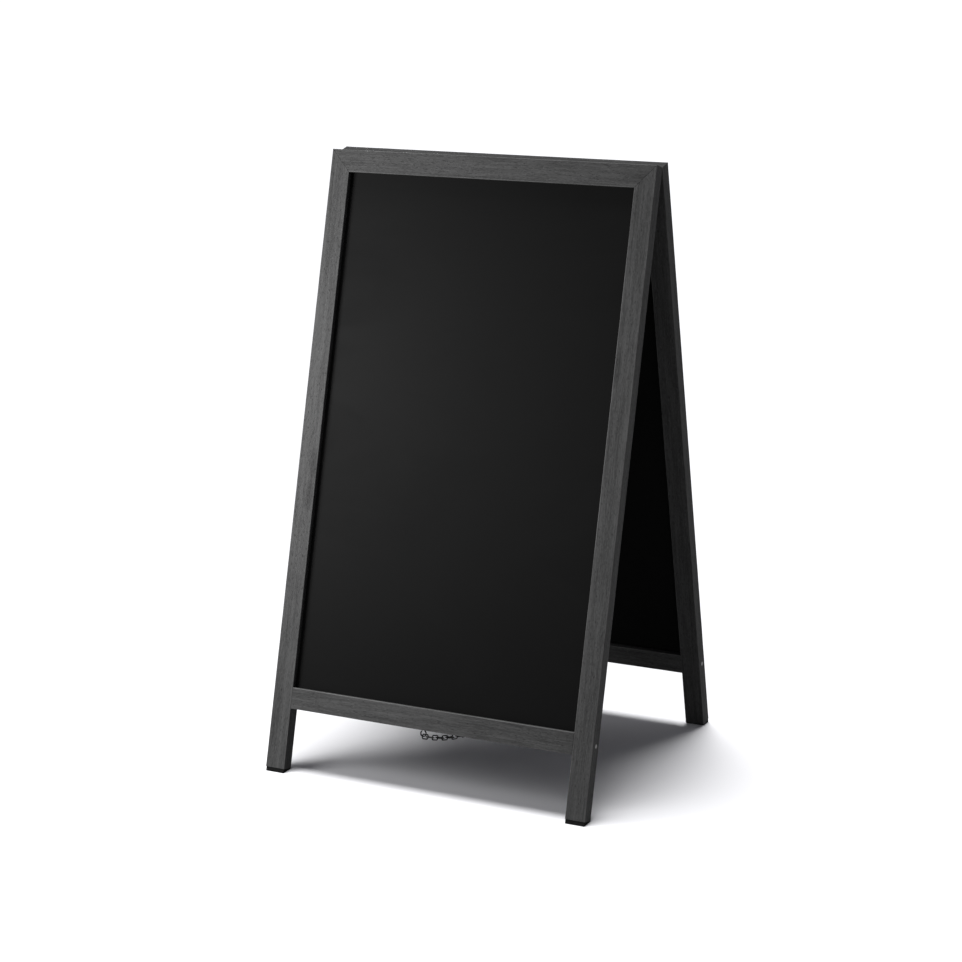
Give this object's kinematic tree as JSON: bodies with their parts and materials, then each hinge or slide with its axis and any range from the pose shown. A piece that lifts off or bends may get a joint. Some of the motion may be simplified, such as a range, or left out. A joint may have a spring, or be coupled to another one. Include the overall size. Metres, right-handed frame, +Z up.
{
  "type": "folding a-frame chalkboard",
  "caption": "Free-standing folding sandwich board: hinged mitred wooden frames round chalkboards, held open by a chain, on rubber feet.",
  "frame": {"origin": "on the floor under the middle of the open board", "axes": "+X across the board, -Y out of the front leaf's writing side, +Z up"},
  "size_m": [0.67, 0.6452, 1.1703],
  "materials": {
    "frame_wood": "charcoal grey stain with the grain showing, satin",
    "chalkboard": "matt black writing surface",
    "dowel_wood": "bare beech",
    "hinge_steel": "black lacquer, semi-gloss",
    "black_steel": "blackened steel, satin",
    "screw_steel": "dark zinc plated",
    "foot_rubber": "moulded black rubber, matt"
  },
  "bodies": {
    "front_leaf": {"front_left_stile": "frame_wood", "front_right_stile": "frame_wood", "front_top_rail": "frame_wood", "front_bottom_rail": "frame_wood", "front_chalkboard": "chalkboard", "front_mitre_dowels": "dowel_wood", "front_rail_screws": "screw_steel", "front_left_hinge_plate": "hinge_steel", "front_right_hinge_plate": "hinge_steel", "front_hinge_screws": "screw_steel", "front_left_foot": "foot_rubber", "front_right_foot": "foot_rubber", "front_foot_screws": "screw_steel", "front_screw_eye": "black_steel", "left_hinge_pin": "hinge_steel", "right_hinge_pin": "hinge_steel"},
    "rear_leaf": {"rear_left_stile": "frame_wood", "rear_right_stile": "frame_wood", "rear_top_rail": "frame_wood", "rear_bottom_rail": "frame_wood", "rear_chalkboard": "chalkboard", "rear_mitre_dowels": "dowel_wood", "rear_rail_screws": "screw_steel", "rear_left_hinge_plate": "hinge_steel", "rear_right_hinge_plate": "hinge_steel", "rear_hinge_screws": "screw_steel", "rear_left_foot": "foot_rubber", "rear_right_foot": "foot_rubber", "rear_foot_screws": "screw_steel", "rear_screw_eye": "black_steel"},
    "front_chain_top": {"front_upper_chain": "black_steel"},
    "front_chain_end": {"front_lower_chain": "black_steel"},
    "rear_chain_top": {"rear_upper_chain": "black_steel"},
    "rear_chain_end": {"rear_lower_chain": "black_steel"}
  },
  "joints": [
    {"name": "leaf_fold", "type": "hinge", "parent": "front_leaf", "child": "rear_leaf", "pos_m": [0, 0, 1.16333], "axis": [-1, 0, 0], "range_deg": [0, 28.4]},
    {"name": "front_chain_eye", "type": "hinge", "parent": "front_leaf", "child": "front_chain_top", "pos_m": [0, -0.28001, 0.10566], "axis": [1, 0, 0], "range_deg": [-26, 0]},
    {"name": "front_chain_link", "type": "hinge", "parent": "front_chain_top", "child": "front_chain_end", "pos_m": [0, -0.18967, 0.07518], "axis": [1, 0, 0], "range_deg": [0, 31]},
    {"name": "rear_chain_eye", "type": "hinge", "parent": "rear_leaf", "child": "rear_chain_top", "pos_m": [0, 0.28001, 0.10566], "axis": [1, 0, 0], "range_deg": [0, 101]},
    {"name": "rear_chain_link", "type": "hinge", "parent": "rear_chain_top", "child": "rear_chain_end", "pos_m": [0, 0.22723, 0.08638], "axis": [1, 0, 0], "range_deg": [0, 88]}
  ],
  "couplings": [
    {"joint": "front_chain_eye", "follows": "leaf_fold", "ratio": -0.9},
    {"joint": "front_chain_link", "follows": "leaf_fold", "ratio": 1.08},
    {"joint": "rear_chain_eye", "follows": "leaf_fold", "ratio": 3.533},
    {"joint": "rear_chain_link", "follows": "leaf_fold", "ratio": 3.08}
  ]
}
